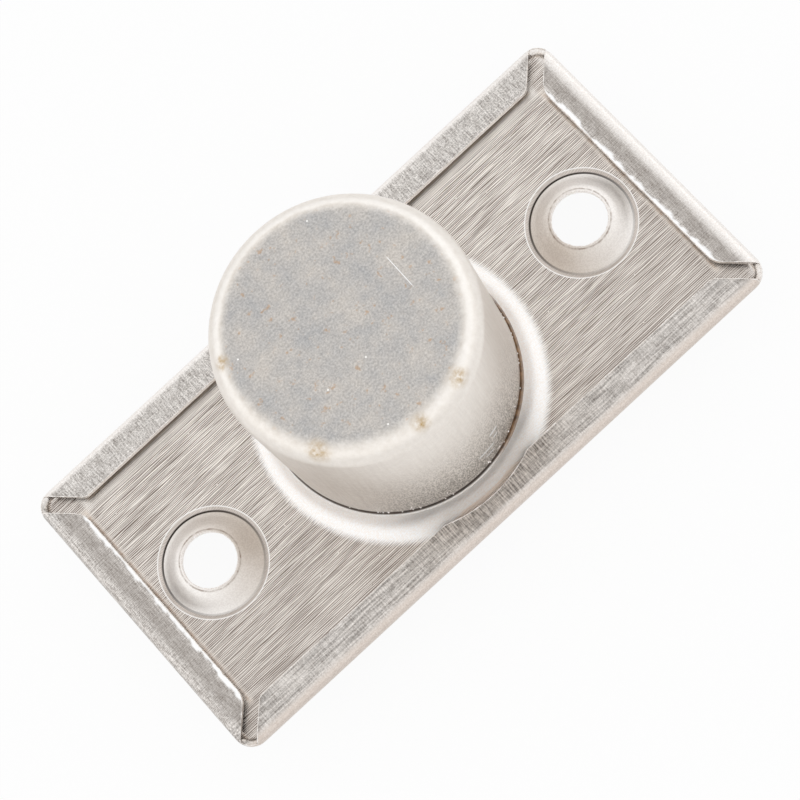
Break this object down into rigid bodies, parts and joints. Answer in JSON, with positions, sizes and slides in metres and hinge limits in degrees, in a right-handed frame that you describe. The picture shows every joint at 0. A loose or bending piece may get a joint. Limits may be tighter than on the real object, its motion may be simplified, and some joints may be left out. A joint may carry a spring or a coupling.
{
  "type": "spring door catch",
  "caption": "Mortised door catch: a hemmed sheet-metal face plate with dimpled screw holes, a round barrel behind it and a sprung ball in front that gives way when pressed.",
  "frame": {"origin": "on the barrel's axis, in the plane of the hems' backs, where the plate rests on the door", "axes": "+Z along the barrel to its closed end, +X along the plate"},
  "size_m": [0.0508, 0.025, 0.0251],
  "materials": {
    "brushed_stainless": "brushed along the plate, with raw cut edges",
    "drawn_steel": "matt drawn steel with a little rust at the edge",
    "nickelled_brass": "satin nickel plate",
    "bearing_steel": "polished",
    "zinc_plated_steel": "bright zinc plate",
    "spring_wire": "oiled drawn wire"
  },
  "bodies": {
    "housing": {"face_plate": "brushed_stainless", "barrel": "drawn_steel", "retaining_bush": "nickelled_brass", "spring": "spring_wire"},
    "plunger": {"spring_cup": "zinc_plated_steel"},
    "ball": {"ball": "bearing_steel"}
  },
  "joints": [
    {"name": "ball_press", "type": "slide", "parent": "housing", "child": "plunger", "axis": [0, 0, 1], "range_m": [0, 0.0034], "stiffness_N_per_m": 1830, "springref_m": -0.006, "deforming": ["spring"]},
    {"name": "ball_roll", "type": "hinge", "parent": "plunger", "child": "ball", "pos_m": [0, 0, 0.00076], "axis": [1, 0, 0], "continuous": true}
  ]
}
